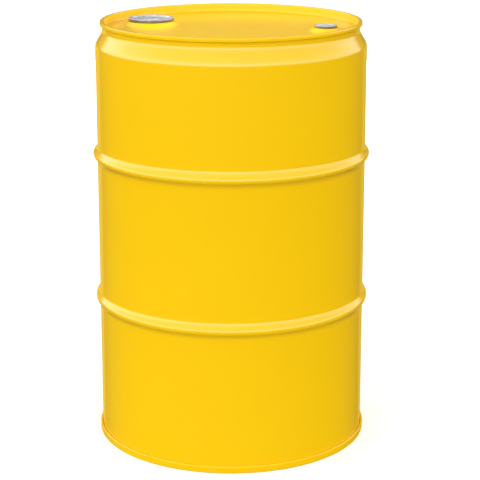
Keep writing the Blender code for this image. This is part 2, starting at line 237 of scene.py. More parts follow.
# %% The flute tree
fluted = ShapeTree("fluted", count=24, depth=0.0005, start=0.0, end=0.01, rise=0.001,
                   near=0.0, far=1.0)
radius, angle, height = fluted.radius_and_angle()
wave = fluted.node("ShaderNodeMath", {"operation": "COSINE"}, {0: angle * fluted.input("count")})
where = fluted.fade(height, fluted.input("start"), fluted.input("end"), fluted.input("rise"))
where = where * fluted.fade(radius, fluted.input("near"), fluted.input("far"), RADIUS_FADE)
dent = (wave - 1) * 0.5 * where * fluted.input("depth")
fluted.finish_with(fluted.push_out(fluted.input("Geometry"), dent))

# %% [markdown]
# A section is a list of (radius, height) points. A sheet's section follows the middle of the
# sheet, with each bend rounded, and is then given the sheet's thickness on both sides. This is
# how a press tool is drawn, and it keeps every wall of the drum as thin as the real one.

# %% Sections
BEND_STEP = math.radians(9)  # largest turn between two points of a bend


def bend(before, corner, after, radius):
    """The points of the arc that rounds one corner."""
    back = (before - corner).normalized()
    on = (after - corner).normalized()
    half = back.angle(on) / 2
    centre = corner + (back + on).normalized() * (radius / math.sin(half))
    start = corner + back * (radius / math.tan(half)) - centre
    end = corner + on * (radius / math.tan(half)) - centre
    turn = math.atan2(start.x * end.y - start.y * end.x, start.dot(end))
    steps = max(2, math.ceil(abs(turn) / BEND_STEP))
    return [centre + Matrix.Rotation(turn * step / steps, 2) @ start for step in range(steps + 1)]


def rounded(corners):
    """A path through (radius, height, bend) corners, where a bend of 0 stays sharp."""
    points = [Vector(corner[:2]) for corner in corners]
    path = []
    for index, (_, _, radius) in enumerate(corners):
        if radius:
            after = points[(index + 1) % len(points)]
            path += bend(points[index - 1], points[index], after, radius)
        else:
            path.append(points[index])
    return path


def thick(path, thickness):
    """The closed section of a sheet whose middle follows the path."""
    runs = [(after - before).normalized() for before, after in zip(path, path[1:])]
    outer, inner = [], []
    for point, run_in, run_out in zip(path, runs[:1] + runs, runs + runs[-1:]):
        on = (run_in + run_out).normalized()
        offset = Vector((-on.y, on.x)) * (thickness / 2 / on.dot(run_in))
        outer.append(point + offset)
        inner.append(point - offset)
    return outer + inner[::-1]


def closed_at_axis(section):
    """True where a section's first and last points are both on the axis."""
    return section[0][0] < WELD and section[-1][0] < WELD


def open_at_axis(section):
    """The section turned round so that its edge on the axis is left out."""
    for index in range(len(section)):
        after = section[(index + 1) % len(section)]
        if section[index][0] < WELD and after[0] < WELD:
            return section[index + 1:] + section[:index + 1]
    return section


# %% Pieces from sections
SHARP = math.radians(40)


def new_item(name, mesh):
    item = bpy.data.objects.new(name, mesh)
    bpy.context.scene.collection.objects.link(item)
    return item


def section_item(name, section, is_open=False):
    section = open_at_axis([tuple(point) for point in section])
    edges = [(index, index + 1) for index in range(len(section) - 1)]
    if not is_open and not closed_at_axis(section):
        edges.append((len(section) - 1, 0))
    mesh = bpy.data.meshes.new(name)
    mesh.from_pydata([(radius - PATH_RADIUS, -height, 0) for radius, height in section], edges, [])
    return new_item(name, mesh)


def plain(item, outwards=True, place=(0, 0, 0), heading=0.0):
    """Turns an item's modifiers into its mesh, welded, facing outwards and put in its place."""
    shapes = bpy.context.evaluated_depsgraph_get()
    mesh = bpy.data.meshes.new_from_object(item.evaluated_get(shapes))
    item.modifiers.clear()
    item.data = mesh
    work = bmesh.new()
    work.from_mesh(mesh)
    bmesh.ops.remove_doubles(work, verts=work.verts, dist=WELD)
    if outwards:
        bmesh.ops.recalc_face_normals(work, faces=work.faces)
    turn = Matrix.Rotation(heading, 3, "Z")
    bmesh.ops.rotate(work, verts=work.verts, cent=(0, 0, 0), matrix=turn)
    bmesh.ops.translate(work, verts=work.verts, vec=place)
    work.to_mesh(mesh)
    work.free()
    mesh.shade_smooth()
    mesh.set_sharp_from_angle(angle=SHARP)
    return item


def size_of(item):
    triangles = sum(len(face.vertices) - 2 for face in item.data.polygons)
    corners = [vertex.co for vertex in item.data.vertices]
    low = [round(min(corner[axis] for corner in corners) * 1000, 1) for axis in range(3)]
    high = [round(max(corner[axis] for corner in corners) * 1000, 1) for axis in range(3)]
    print(item.name, triangles, "triangles, mm", low, high)


def turned_item(name, section, segments, finish):
    item = section_item(name, section)
    turned.apply_to(item, segments=segments, finish=finish)
    return item


# %% [markdown]
# The enamel is a glossy stoving enamel. Close up it has a faint orange peel, and over a hand's
# breadth the sheet under it waves a little, which is what bends the reflections. The colour and
# gloss drift slightly where the coat is thicker. All of it reads the object's own coordinates, so
# it stays put when a piece moves.

# %% Finishes as sums of noise
class Finish(Graph):
    """A material: one Principled shader, fed by patterns on the object's own coordinates."""

    def __init__(self, name, **constants):
        self.material = bpy.data.materials.new(name)
        self.material.use_nodes = True
        super().__init__(self.material.node_tree)
        self.shader = self.tree.nodes["Principled BSDF"]
        for label, value in constants.items():
            self.shader.inputs[label.replace("_", " ")].default_value = value
        self.place = self.node("ShaderNodeTexCoord", output="Object")

    def set(self, label, value):
        self.feed(self.shader.inputs[label], value)

    def noise(self, scale, detail=2.0, place=None, roughness=0.5):
        inputs = {"Vector": place or self.place, "Scale": scale, "Detail": detail}
        inputs["Roughness"] = roughness
        return self.node("ShaderNodeTexNoise", {}, inputs)

    def stretched(self, scales):
        """The object's coordinates, drawn out for grain that runs one way."""
        return self.node("ShaderNodeMapping", {}, {"Vector": self.place, "Scale": scales})

    def between(self, mask, low, high):
        """A colour between two, by a mask."""
        inputs = dict(zip(MIX_COLOUR_INPUTS, (mask, (*low, 1), (*high, 1))))
        return self.node("ShaderNodeMix", {"data_type": "RGBA"}, inputs, MIX_COLOUR_OUTPUT)

    def bump(self, height, strength, distance, under=None):
        inputs = {"Strength": strength, "Distance": distance, "Height": height}
        if under is not None:
            inputs["Normal"] = under
        return self.node("ShaderNodeBump", {}, inputs)


ENAMEL_THIN, ENAMEL_THICK = (0.925, 0.555, 0.0), (0.965, 0.585, 0.0)


def enamel(name, gloss, roughness):
    finish = Finish(name, Specular_IOR_Level=gloss, IOR=1.5)
    drift = finish.noise(7.0, 3.0)
    cloud = finish.noise(45.0, 4.0)
    peel = finish.noise(620.0, 2.0)
    wave = finish.noise(5.0, 1.0)
    tone = drift * 0.6 + cloud * 0.4
    finish.set("Base Color", finish.between(tone, ENAMEL_THIN, ENAMEL_THICK))
    finish.set("Roughness", roughness + 0.05 * cloud + 0.02 * peel)
    sheet = finish.bump(wave, 0.25, 0.004)
    finish.set("Normal", finish.bump(peel, 0.10, 0.0002, sheet))
    return finish.material


# %% [markdown]
# The closures are zinc-plated pressings under tinplate caps. Zinc grows in patches, so its grains
# come from a Voronoi pattern. Tinplate keeps the fine lines of the rolling mill, which run one way
# across the sheet, so its noise is stretched. A cap's skirt has painted shade: the colour darkens
# as the piece's own normal turns sideways. Rubber and sealing compound are dull and uneven.

# %% Metals and rubbers
ZINC_DARK, ZINC_BRIGHT = (0.40, 0.43, 0.47), (0.66, 0.68, 0.70)
TIN_DARK, TIN_BRIGHT = (0.58, 0.61, 0.67), (0.98, 0.98, 0.98)
RUBBER_DARK, RUBBER_BRIGHT = (0.012, 0.012, 0.014), (0.045, 0.044, 0.046)
SEALANT_DARK, SEALANT_BRIGHT = (0.20, 0.18, 0.15), (0.36, 0.33, 0.28)


def zinc(name):
    finish = Finish(name, Metallic=1.0)
    cells = {"Vector": finish.place, "Scale": 420.0}
    grain = finish.node("ShaderNodeTexVoronoi", {}, cells, "Color")
    patch = finish.node("ShaderNodeSeparateColor", {}, {0: grain})
    scuff = finish.noise(150.0, 5.0)
    tone = patch * 0.5 + scuff * 0.5
    finish.set("Base Color", finish.between(tone, ZINC_DARK, ZINC_BRIGHT))
    finish.set("Roughness", 0.26 + 0.16 * patch + 0.10 * scuff)
    finish.set("Normal", finish.bump(scuff, 0.15, 0.0003))
    return finish.material


def tinplate(name):
    finish = Finish(name, Metallic=0.6)
    lines = finish.noise(1.0, 4.0, finish.stretched((40.0, 1600.0, 900.0)))
    haze = finish.noise(70.0, 3.0)
    # painted shade: the tin's colour is darkened to a quarter on the skirt, where the normal turns
    # sideways
    facing = finish.node("ShaderNodeTexCoord", output="Normal")
    flat = finish.node("ShaderNodeSeparateXYZ", {}, {0: facing}, "Z")
    painted_skirt_shade = finish.node("ShaderNodeMapRange", {}, {0: flat, 1: 0.15, 2: 0.75, 3: 0.25, 4: 1.0})
    cloud = haze * 0.75 + lines * 0.25
    patches = finish.node("ShaderNodeMapRange", {}, {0: cloud, 1: 0.38, 2: 0.62})
    worn = finish.between(patches, TIN_DARK, TIN_BRIGHT)
    tin = finish.node("ShaderNodeVectorMath", {"operation": "SCALE"}, {0: worn, 3: painted_skirt_shade})
    finish.set("Base Color", tin)
    finish.set("Roughness", 0.20 + 0.12 * lines + 0.08 * haze)
    finish.set("Normal", finish.bump(lines, 0.08, 0.0001))
    return finish.material


def rubber(name):
    finish = Finish(name)
    speck = finish.noise(900.0, 3.0)
    bloom = finish.noise(90.0, 3.0)
    finish.set("Base Color", finish.between(bloom, RUBBER_DARK, RUBBER_BRIGHT))
    finish.set("Roughness", 0.62 + 0.25 * bloom)
    finish.set("Normal", finish.bump(speck, 0.3, 0.0002))
    return finish.material


def sealant(name):
    finish = Finish(name)
    lump = finish.noise(260.0, 4.0)
    finish.set("Base Color", finish.between(lump, SEALANT_DARK, SEALANT_BRIGHT))
    finish.set("Roughness", 0.70 + 0.2 * lump)
    finish.set("Normal", finish.bump(lump, 0.4, 0.0003))
    return finish.material


finishes = {
    "body_paint": enamel("body_enamel", 0.75, 0.09),
    "head_paint": enamel("head_enamel", 0.50, 0.12),
    "zinc_steel": zinc("plated_zinc"),
    "tinplate": tinplate("rolled_tinplate"),
    "gasket_rubber": rubber("black_rubber"),
    "seam_compound": sealant("seam_sealant"),
}
print("finishes", {slot: len(made.node_tree.nodes) for slot, made in finishes.items()})

# %% [markdown]
# A finished piece stands in for one imported node: it rides on the same body, and the imported node
# is hidden. Its finish is picked from the table of finishes above.

# %% Handing a piece over
packed_bodies = frame["record"]["behaviour"]["bodies"]
node_bodies = {node: body for body, nodes in packed_bodies.items() for node in nodes}


def seat(item, node):
    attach(item, node_bodies[node])
    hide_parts(node)
    size_of(item)


# %% [markdown]
# The body shell is one sheet. From the top its section runs over the head's hook, down the neck,
# out at the shoulder, over both hoops, and into the bottom seam. A hoop is a crest between two
# foot bends, each tangent to the next, as a rolling tool leaves it.

# %% The body's section
GAP = 0.0003  # left between pieces that touch
BODY_SHEET = 0.0012
HEAD_SHEET = 0.0015
BODY_RADIUS = 0.2870
NECK_RADIUS = 0.2715
HOOP_HEIGHTS = (0.6230, 0.3080)
HOOP_PROJECTION = 0.0087
HOOP_HALF_WIDTH = 0.0205
HOOP_FOOT_RADIUS = 0.019
HOOP_STEPS = 8
NECK_BEND, SHOULDER_BEND = 0.018, 0.025
NECK_DEPTH = 0.023  # from the top down to where the shoulder starts
SHOULDER_HEIGHT = 0.026
SEAM_HEIGHTS = {"top": 0.009, "bottom": 0.0155}
HOOK_GAP = 0.0008
COMPOUND_DEPTH = HEAD_SHEET + GAP
COMPOUND_THICKNESS = 0.0006
FOLD_DEPTH = COMPOUND_DEPTH + COMPOUND_THICKNESS + GAP
FOLD_WIDTH = BODY_SHEET + HEAD_SHEET + 2 * GAP
FOLD_BEND = 0.44 * FOLD_WIDTH
WALL_RADII = {"top": NECK_RADIUS, "bottom": BODY_RADIUS}
SHELL_SEGMENTS = 288


def level(end, depth):
    """The height of a point that lies so deep behind one end of the drum."""
    return drum_height - depth if end == "top" else depth


def body_hook(end):
    wall = WALL_RADII[end] - BODY_SHEET / 2
    hook_end = SEAM_HEIGHTS[end] - HEAD_SHEET - HOOK_GAP
    fold = FOLD_DEPTH + BODY_SHEET / 2
    return [
        (wall + FOLD_WIDTH, level(end, hook_end), 0),
        (wall + FOLD_WIDTH, level(end, fold), FOLD_BEND),
        (wall, level(end, fold), FOLD_BEND),
    ]


def hoop(height, wall):
    both = (HOOP_HALF_WIDTH**2 + HOOP_PROJECTION**2) / (2 * HOOP_PROJECTION)
    crest = both - HOOP_FOOT_RADIUS
    lean = math.asin(HOOP_HALF_WIDTH / both)
    above = []
    for step in range(HOOP_STEPS):
        angle = lean * step / HOOP_STEPS
        rise = HOOP_FOOT_RADIUS * (1 - math.cos(angle))
        above.append((wall + rise, HOOP_HALF_WIDTH - HOOP_FOOT_RADIUS * math.sin(angle)))
    for step in range(HOOP_STEPS + 1):
        angle = lean * (1 - step / HOOP_STEPS)
        out = wall + HOOP_PROJECTION - crest * (1 - math.cos(angle))
        above.append((out, crest * math.sin(angle)))
    below = [(radius, -up) for radius, up in above[-2::-1]]
    return [Vector((radius, height + up)) for radius, up in above + below]


def body_path():
    wall = BODY_RADIUS - BODY_SHEET / 2
    neck = NECK_RADIUS - BODY_SHEET / 2
    neck_end = level("top", NECK_DEPTH)
    shoulder_end = neck_end - SHOULDER_HEIGHT
    shoulder = [(neck, neck_end, NECK_BEND), (wall, shoulder_end, SHOULDER_BEND)]
    hoops = [point for height in HOOP_HEIGHTS for point in hoop(height, wall)]
    above = rounded([*body_hook("top"), *shoulder, (*hoops[0], 0)])
    below = rounded([(*hoops[-1], 0), *reversed(body_hook("bottom"))])
    return above[:-1] + hoops + below[1:]


# %% The body
body_section = thick(body_path(), BODY_SHEET)
body = turned_item("body_shell", body_section, SHELL_SEGMENTS, finishes["body_paint"])
seat(plain(body), "drum_body")

# %% [markdown]
# A head is pressed from 1.5 mm sheet: a flat panel, a bend up into the chuck wall, over the top,
# down the seam wall and back up under the body's hook. The bottom head is turned in one go. The
# top one has two raised bosses, so its panel is filled between three turned rings, as a press
# would leave it, and the sheet gets its thickness last.

# %% Head sections
HEAD_RECESS = 0.018
COUNTERSINK_BEND = 0.005
SEAM_BEND = 0.0022
PANEL_EDGE = 0.2620  # radius where the flat of the top panel begins


def head_corners(end, inner_radius):
    cover_hook = WALL_RADII[end] + GAP + HEAD_SHEET / 2
    seam_wall = cover_hook + FOLD_WIDTH
    chuck_wall = WALL_RADII[end] - BODY_SHEET - GAP - HEAD_SHEET / 2
    curl = level(end, SEAM_HEIGHTS[end] - HEAD_SHEET / 2)
    crown = level(end, HEAD_SHEET / 2)
    panel = level(end, HEAD_RECESS + HEAD_SHEET / 2)
    return [
        (cover_hook, level(end, FOLD_DEPTH + BODY_SHEET + HOOK_GAP), 0),
        (cover_hook, curl, FOLD_BEND),
        (seam_wall, curl, FOLD_BEND),
        (seam_wall, crown, SEAM_BEND),
        (chuck_wall, crown, SEAM_BEND),
        (chuck_wall, panel, COUNTERSINK_BEND),
        (inner_radius, panel, 0),
    ]


# %% The bottom head
bottom_section = thick(rounded(head_corners("bottom", 0)), HEAD_SHEET)
bottom = turned_item("bottom_pan", bottom_section, SHELL_SEGMENTS, finishes["head_paint"])
seat(plain(bottom), "bottom_head")

# %% The closures' sizes
# Heights are measured from the top of each boss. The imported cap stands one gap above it.
CLOSURES = {
    "2in": dict(
        bore=0.0298, thread=0.015, lead=0.002309, barrel=0.003, cap=0.0485, cap_drop=0.0022,
        collar_height=0.0044, seat=0.0060, base=0.006, button=0.020, button_rise=0.0010,
        lug=(0.009, 0.006, 0.008), lug_bend=0.0008, crimps=36),
    "3_4in": dict(
        bore=0.0132, thread=0.012, lead=0.001814, barrel=0.0025, cap=0.0235, cap_drop=0.0016,
        collar_height=0.0030, seat=0.0052, base=0.005, button=0.0085, button_rise=0.0007,
        lug=(0.0035, 0.003, 0.005), lug_bend=0.0005, crimps=22),
}
CAP_SHEET = 0.0008
CURL_LIP = 0.0009
CURL_THICKNESS = 0.0011
NECK_WALL = 0.0017
FLANGE_SHEET = 0.0022
FLANGE_GASKET = 0.0018
PLUG_SHEET = 0.0022
PLUG_GASKET = 0.0020
PLUG_CLEARANCE = 0.0010
THREAD_CLEARANCE = 0.0005
BOSS_RISE = 0.0066
BOSS_LAND = 0.0015
BOSS_SLOPE = 0.010
BOSS_FOOT = 0.006
CLOSURE_SEGMENTS = 120


class Fit:
    """One closure's place, and the radii and heights that its pieces share."""

    def __init__(self, name):
        self.name = name
        self.size = size = CLOSURES[name]
        low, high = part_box("plug_" + name)
        self.x, self.y = (low.x + high.x) / 2, (low.y + high.y) / 2
        self.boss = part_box("cap_seal_" + name)[0].z - GAP
        self.heading = math.atan2(self.y, self.x)
        self.curl = size["cap"] - CAP_SHEET - GAP
        self.collar = self.curl - CURL_LIP - HEAD_SHEET / 2
        self.neck = self.collar - HEAD_SHEET / 2 - GAP
        self.inside = self.neck - NECK_WALL
        self.base = self.neck + size["base"]
        self.land = self.base + BOSS_LAND
        self.plug = self.inside - PLUG_CLEARANCE
        self.curl_top = size["collar_height"] + GAP + CURL_THICKNESS
        self.base_top = -HEAD_SHEET - GAP - FLANGE_GASKET - GAP
        self.seat = -size["seat"]
        self.end = self.seat - size["thread"]
        self.gasket = self.seat + GAP
        self.plug_under = self.gasket + PLUG_GASKET + GAP
        self.foot = self.land + BOSS_SLOPE + BOSS_FOOT

    def place(self, item):
        return plain(item, place=(self.x, self.y, self.boss), heading=self.heading)


fits = [Fit(name) for name in CLOSURES]
for fit in fits:
    print(fit.name, "at", round(fit.x, 4), round(fit.y, 4), "boss", round(fit.boss, 4))

# %% The top head
BOSS_BEND, BOSS_FOOT_BEND, COLLAR_BEND = 0.0030, 0.0060, 0.0016
SHAPE_GAP = 0.00001


def boss_path(fit):
    middle = -HEAD_SHEET / 2
    tilt = math.atan2(BOSS_RISE, BOSS_SLOPE)
    land = fit.land - HEAD_SHEET / 2 * math.tan(tilt / 2)
    low = middle - BOSS_RISE
    return rounded([
        (fit.collar, fit.size["collar_height"], 0),
        (fit.collar, middle, COLLAR_BEND),
        (land, middle, BOSS_BEND),
        (land + BOSS_SLOPE, low, BOSS_FOOT_BEND),
        (fit.foot, low, 0),
    ])


def sheet_item(name, path, segments):
    item = section_item(name, path, is_open=True)
    turned.apply_to(item, segments=segments, finish=finishes["head_paint"])
    return item


def joined(name, items):
    """One item from several, with their points copied as they are."""
    work = bmesh.new()
    for item in items:
        work.from_mesh(item.data)
        bpy.data.objects.remove(item)
    mesh = bpy.data.meshes.new(name)
    work.to_mesh(mesh)
    work.free()
    mesh.materials.append(finishes["head_paint"])
    return new_item(name, mesh)


def fill_panel(item, height, fits):
    """Fills the flat between the open rings that lie at one height, and leaves their holes."""
    work = bmesh.new()
    work.from_mesh(item.data)
    rims = [edge for edge in work.edges
            if edge.is_boundary and all(abs(v.co.z - height) < SHAPE_GAP for v in edge.verts)]
    corners = list({vertex for edge in rims for vertex in edge.verts})
    corners.sort(key=lambda vertex: vertex.index)
    order = {vertex: index for index, vertex in enumerate(corners)}
    pairs = [tuple(order[vertex] for vertex in edge.verts) for edge in rims]
    flat = [vertex.co.to_2d() for vertex in corners]
    points, _, faces, _, _, _ = delaunay_2d_cdt(flat, pairs, [], 0, SHAPE_GAP / 10)
    assert len(points) == len(flat)
    for face in faces:
        middle = sum((points[index] for index in face), Vector((0, 0))) / len(face)
        if all((middle - Vector((fit.x, fit.y))).length > fit.foot for fit in fits):
            work.faces.new([corners[index] for index in face])
    bmesh.ops.recalc_face_normals(work, faces=work.faces)
    print("panel filled between", len(rims), "edges with", len(faces), "triangles")
    work.to_mesh(item.data)
    work.free()


rim_path = rounded(head_corners("top", PANEL_EDGE))
rings = [plain(sheet_item("head_rim", rim_path, SHELL_SEGMENTS), False)]
for fit in fits:
    ring = sheet_item("boss_" + fit.name, boss_path(fit), CLOSURE_SEGMENTS)
    rings.append(plain(ring, False, (fit.x, fit.y, fit.boss), fit.heading))
top = joined("top_pan", rings)
fill_panel(top, level("top", HEAD_RECESS + HEAD_SHEET / 2), fits)
sheet = top.modifiers.new("sheet", "SOLIDIFY")
sheet.thickness = HEAD_SHEET
sheet.offset = 0
sheet.use_even_offset = True
seat(plain(top), "top_head")

# %% [markdown]
# Sealing compound is squeezed flat between the top of the fold and the body's hook, in a ring.

# %% The sealing compound
COMPOUND_INSET = 0.0004


def ring_section(inner, outer, low, high, edge):
    return rounded([
        (inner, high, edge), (outer, high, edge), (outer, low, edge), (inner, low, edge)])


for end in ("top", "bottom"):
    inner = WALL_RADII[end] - BODY_SHEET / 2 + COMPOUND_INSET
    outer = inner + FOLD_WIDTH - 2 * COMPOUND_INSET
    depths = (COMPOUND_DEPTH, COMPOUND_DEPTH + COMPOUND_THICKNESS)
    levels = sorted(level(end, depth) for depth in depths)
    compound = ring_section(inner, outer, *levels, COMPOUND_THICKNESS / 3)
    item = turned_item("sealant_" + end, compound, SHELL_SEGMENTS, finishes["seam_compound"])
    seat(plain(item), end + "_seam_compound")

# %% [markdown]
# A closure is a stack: a threaded flange rolled over the head's collar, a gasket under its base,
# a gasket on its seat, a screw plug with four lugs in its cup, and a crimped tinplate cap. The
# thread is one wave along a helix, the same on the plug and in the flange, so that the two stay
# in step when the plug turns and rises by its lead.

# %% Closure sections
CURL_BEND = 0.0005
PLUG_NECK_BEND, PLUG_FLOOR_BEND = 0.0014, 0.0022
CAP_HEM, CAP_SKIRT_BEND, CAP_RIM_BEND, CAP_STEP_BEND, CAP_PANEL_BEND = (
    0.0005, 0.0008, 0.0009, 0.0010, 0.0020)
CAP_HEM_HEIGHT = 0.0016
CAP_STEP_INSET = 0.0010
THREAD_STEP = 0.00024  # between rows of points along a thread


def with_rows(section, radius):
    """The section with rows of points added along its straight wall at one radius."""
    rows = []
    for index, point in enumerate(section):
        after = section[(index + 1) % len(section)]
        rows.append(point)
        if abs(point[0] - radius) < SHAPE_GAP and abs(after[0] - radius) < SHAPE_GAP:
            count = int(abs(after[1] - point[1]) / THREAD_STEP)
            rows += [Vector(point).lerp(after, step / count) for step in range(1, count)]
    return rows


def flange_section(fit):
    barrel = fit.size["bore"] + fit.size["barrel"]
    base_bottom = fit.base_top - FLANGE_SHEET
    dish = fit.seat - FLANGE_SHEET
    lip = fit.size["collar_height"] + GAP
    section = rounded([
        (fit.inside, fit.curl_top, CURL_BEND), (fit.curl, fit.curl_top, CURL_BEND),
        (fit.curl, lip, CURL_BEND), (fit.neck, lip, 0),
        (fit.neck, fit.base_top, 0), (fit.base, fit.base_top, CURL_BEND),
        (fit.base, base_bottom, CURL_BEND), (fit.neck, base_bottom, 0),
        (fit.neck, dish, CURL_BEND), (barrel, dish, CURL_BEND),
        (barrel, fit.end, CURL_BEND), (fit.size["bore"], fit.end, CURL_BEND),
        (fit.size["bore"], fit.seat, 0), (fit.inside, fit.seat, 0),
    ])
    return with_rows(section, fit.size["bore"])


def plug_section(fit):
    shank = fit.size["bore"] - THREAD_CLEARANCE - PLUG_SHEET / 2
    head = fit.plug_under + PLUG_SHEET / 2
    floor = fit.end + PLUG_CLEARANCE + PLUG_SHEET / 2
    path = rounded([
        (fit.plug, head, 0), (shank, head, PLUG_NECK_BEND),
        (shank, floor, PLUG_FLOOR_BEND), (0, floor, 0)])
    return with_rows(thick(path, PLUG_SHEET), shank + PLUG_SHEET / 2)


def cap_section(fit):
    size = fit.size
    skirt = size["cap"] - CAP_SHEET / 2
    rim = fit.curl_top + GAP + CAP_SHEET / 2
    step = fit.inside - CAP_STEP_INSET
    panel = rim - size["cap_drop"]
    path = rounded([
        (skirt - CAP_HEM, GAP + CAP_SHEET / 2, 0), (skirt, GAP + CAP_HEM_HEIGHT, CAP_SKIRT_BEND),
        (skirt, rim, CAP_RIM_BEND), (step, rim, CAP_STEP_BEND),
        (step - size["cap_drop"], panel, CAP_STEP_BEND),
        (size["button"] + 2 * size["button_rise"], panel, CAP_PANEL_BEND),
        (size["button"], panel + size["button_rise"], CAP_PANEL_BEND),
        (0, panel + size["button_rise"], 0),
    ])
    return thick(path, CAP_SHEET)


# %% The lug tree
lugged = ShapeTree("lugged", reach=0.02, size=(0.01, 0.006, 0.008), height=0.0)
spots = lugged.node("GeometryNodeMeshCircle", {}, {"Vertices": 4, "Radius": lugged.input("reach")})
block = lugged.node("GeometryNodeMeshCube", {}, {"Size": lugged.input("size")})
inward = lugged.node("FunctionNodeAlignRotationToVector", {"axis": "X"},
                     {"Vector": lugged.position})
lugs = lugged.node("GeometryNodeInstanceOnPoints", {},
                   {"Points": spots, "Instance": block, "Rotation": inward})
up = lugged.node("ShaderNodeCombineXYZ", {}, {2: lugged.input("height")})
raised = lugged.node("GeometryNodeTransform", {}, {"Geometry": lugs, "Translation": up})
lugged.finish_with(raised)


def lug_item(fit):
    length, width, height = fit.size["lug"]
    reach = fit.size["bore"] - THREAD_CLEARANCE - PLUG_SHEET - length / 2
    floor = fit.end + PLUG_CLEARANCE + PLUG_SHEET
    item = new_item("plug_lugs_" + fit.name, bpy.data.meshes.new("lugs"))
    lugged.apply_to(item, reach=reach, size=(length, width, height), height=floor + height / 2,
                    finish=finishes["zinc_steel"])
    edge = item.modifiers.new("edge", "BEVEL")
    edge.width = fit.size["lug_bend"]
    edge.segments = 3
    return item


# %% The closures
GASKET_EDGE = 0.0005
THREAD_MARGIN = 0.0012
THREAD_DEPTH = 0.0009
THREAD_START = 0.001  # above the plug's floor
GASKET_PLAY = 0.001
CRIMP_DEPTH = 0.0004
CRIMP_FADE = 0.0012
CRIMP_REACH = 0.002  # how far in from the cap's edge the crimps go


def thread(item, fit, radius, low, high):
    threaded.apply_to(item, lead=fit.size["lead"], depth=THREAD_DEPTH, start=low + THREAD_MARGIN,
                      end=high - THREAD_MARGIN, near=radius, far=radius,
                      finish=finishes["zinc_steel"])


for fit in fits:
    steel, black = finishes["zinc_steel"], finishes["gasket_rubber"]
    name = fit.name

    flange = turned_item("threaded_flange_" + name, flange_section(fit), CLOSURE_SEGMENTS, steel)
    thread(flange, fit, fit.size["bore"], fit.end, fit.seat)
    seat(fit.place(flange), "flange_" + name)

    washer = ring_section(fit.neck + GAP, fit.base - GASKET_EDGE, fit.base_top + GAP,
                          fit.base_top + GAP + FLANGE_GASKET, GASKET_EDGE)
    item = turned_item("flange_washer_" + name, washer, CLOSURE_SEGMENTS, black)
    seat(fit.place(item), "flange_gasket_" + name)

    washer = ring_section(fit.size["bore"] + GASKET_PLAY, fit.plug - GASKET_PLAY, fit.gasket,
                          fit.gasket + PLUG_GASKET, GASKET_EDGE)
    item = turned_item("plug_washer_" + name, washer, CLOSURE_SEGMENTS, black)
    seat(fit.place(item), "plug_gasket_" + name)

    plug = turned_item("screw_plug_" + name, plug_section(fit), CLOSURE_SEGMENTS, steel)
    floor = fit.end + PLUG_CLEARANCE
    thread(plug, fit, fit.size["bore"] - THREAD_CLEARANCE, floor + THREAD_START, fit.plug_under)
    seat(fit.place(plug), "plug_" + name)

    lugs = fit.place(lug_item(fit))
    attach(lugs, "plug_" + name)
    size_of(lugs)

    tin = finishes["tinplate"]
    cap = turned_item("tin_cap_" + name, cap_section(fit), CLOSURE_SEGMENTS * 2, tin)
    fluted.apply_to(cap, count=fit.size["crimps"], depth=CRIMP_DEPTH, start=-1.0,
                    end=GAP + CAP_HEM_HEIGHT, rise=CRIMP_FADE,
                    near=fit.size["cap"] - CRIMP_REACH, far=1.0, finish=tin)
    seat(fit.place(cap), "cap_seal_" + name)

# %% [markdown]
# The body's sheet is rolled into a tube and joined by a resistance weld. It shows as a low, narrow
# band with small cross ripples, one for each pulse of the welder, under the enamel. It follows the
# shell over both hoops, so a tree samples the shell's own section and lays a grid along it.

# %% The weld tree
GRID_ACROSS = 9
WELD_SINK = 0.00005  # into the shell, so that the band's edges don't float

weld = ShapeTree("weld", width=0.008, height=0.0006, pitch=0.0040, ripple=0.00014, rows=1200)
grid = weld.node("GeometryNodeMeshGrid", {},
                 {"Size X": 1.0, "Size Y": 1.0,
                  "Vertices X": GRID_ACROSS, "Vertices Y": weld.input("rows")})
across, along, _ = weld.along(weld.position)
line = weld.node("GeometryNodeMeshToCurve", {}, {"Mesh": weld.input("Geometry")})
factor = along + 0.5
sampled = weld.node("GeometryNodeSampleCurve", {"mode": "FACTOR", "use_all_curves": True},
                    {"Curves": line, "Factor": factor}, "Position")
tangent = Value(weld, sampled.socket.node.outputs["Tangent"])
outward = weld.node("ShaderNodeVectorMath", {"operation": "CROSS_PRODUCT"},
                    {0: tangent, 1: (1, 0, 0)})
length = weld.node("GeometryNodeCurveLength", {}, {0: line})
pulses = factor * length / weld.input("pitch") * (2 * math.pi)
ripple = weld.node("ShaderNodeMath", {"operation": "COSINE"}, {0: pulses}) * weld.input("ripple")
crown = 1 - across * across * 4
sag = across * across * weld.input("width") * weld.input("width") / (-2 * BODY_RADIUS)
lift = crown * (weld.input("height") + ripple) + sag - WELD_SINK
sideways = weld.node("ShaderNodeCombineXYZ", {}, {0: across * weld.input("width")})
raised = weld.node("ShaderNodeVectorMath", {"operation": "SCALE"}, {0: outward, 3: lift})
on_shell = weld.node("ShaderNodeVectorMath", {}, {0: sampled, 1: sideways})
spot = weld.node("ShaderNodeVectorMath", {}, {0: on_shell, 1: raised})
weld.finish_with(weld.node("GeometryNodeSetPosition", {}, {"Geometry": grid, "Position": spot}))

# %% The side seam's weld
WELD_BACKING = 0.0004
WELD_TOP, WELD_BOTTOM = 0.0100, 0.0170  # clear of the two end seams

